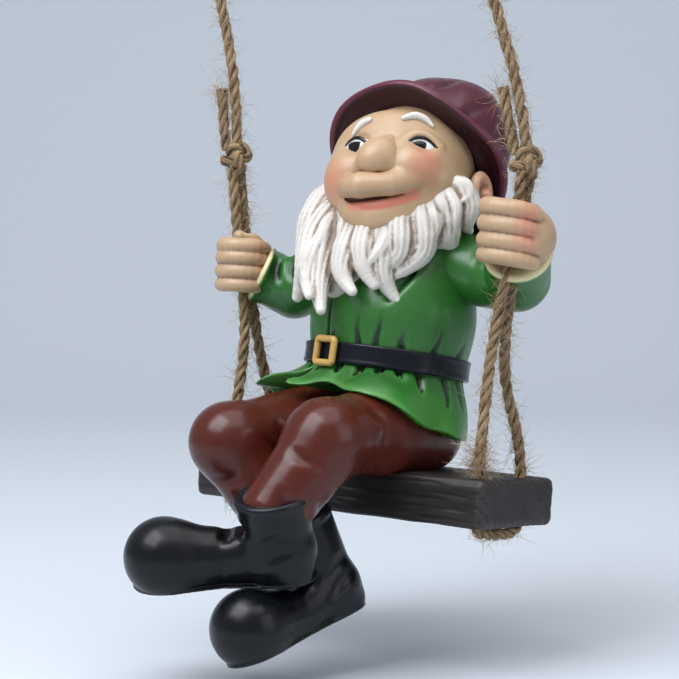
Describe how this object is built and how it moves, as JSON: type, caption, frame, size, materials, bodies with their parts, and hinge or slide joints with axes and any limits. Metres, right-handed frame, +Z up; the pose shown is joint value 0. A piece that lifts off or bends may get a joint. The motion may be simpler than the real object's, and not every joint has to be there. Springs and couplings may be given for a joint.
{
  "type": "garden gnome on a rope swing",
  "caption": "Painted cast garden gnome sitting cross-legged on a dark plank swing, gripping two knotted jute ropes that end in hang loops.",
  "frame": {"origin": "middle of the bar line that passes through both hang loops, above the middle of the plank", "axes": "+Z up, -Y the way the gnome faces, +X to the gnome's left"},
  "size_m": [0.2256, 0.2396, 0.393],
  "materials": {
    "jute": "loosely twisted natural jute, hairy",
    "dark_wood": "dark stained weathered wood, carved grain",
    "black_paint": "satin black paint on cast polyresin",
    "brown_paint": "glossy red-brown paint on cast polyresin",
    "green_paint": "satin green paint with a dark wash",
    "belt_paint": "satin navy-black paint",
    "gold_paint": "gold paint",
    "skin_paint": "satin skin-tone paint with pink blush",
    "eye_paint": "glossy white paint with a black iris",
    "beard_paint": "white paint with a brown wash in the grooves",
    "maroon_paint": "satin maroon paint on cast polyresin"
  },
  "bodies": {
    "loops": {"left_hang_loop": "jute", "right_hang_loop": "jute", "left_loop_knot": "jute", "right_loop_knot": "jute"},
    "lines": {"left_hang_line": "jute", "right_hang_line": "jute", "left_rope_tail": "jute", "right_rope_tail": "jute"},
    "seat": {"left_seat_rope": "jute", "right_seat_rope": "jute", "left_seat_knot": "jute", "right_seat_knot": "jute", "plank": "dark_wood", "left_boot": "black_paint", "right_boot": "black_paint", "left_trouser_leg": "brown_paint", "right_trouser_leg": "brown_paint", "tunic_body": "green_paint", "tunic_skirt": "green_paint", "belt": "belt_paint", "buckle": "gold_paint", "left_sleeve": "green_paint", "right_sleeve": "green_paint", "left_hand": "skin_paint", "right_hand": "skin_paint", "head": "skin_paint", "nose": "skin_paint", "left_eye": "eye_paint", "right_eye": "eye_paint", "left_ear": "skin_paint", "right_ear": "skin_paint", "left_eyebrow": "beard_paint", "right_eyebrow": "beard_paint", "hat": "maroon_paint", "beard": "beard_paint"}
  },
  "joints": [
    {"name": "swing", "type": "hinge", "parent": "loops", "child": "lines", "pos_m": [0, 0, -0.034], "axis": [1, 0, 0], "range_deg": [-30, 30]},
    {"name": "rock", "type": "hinge", "parent": "lines", "child": "seat", "pos_m": [0, 0, -0.134], "axis": [1, 0, 0], "range_deg": [-18, 18]}
  ]
}
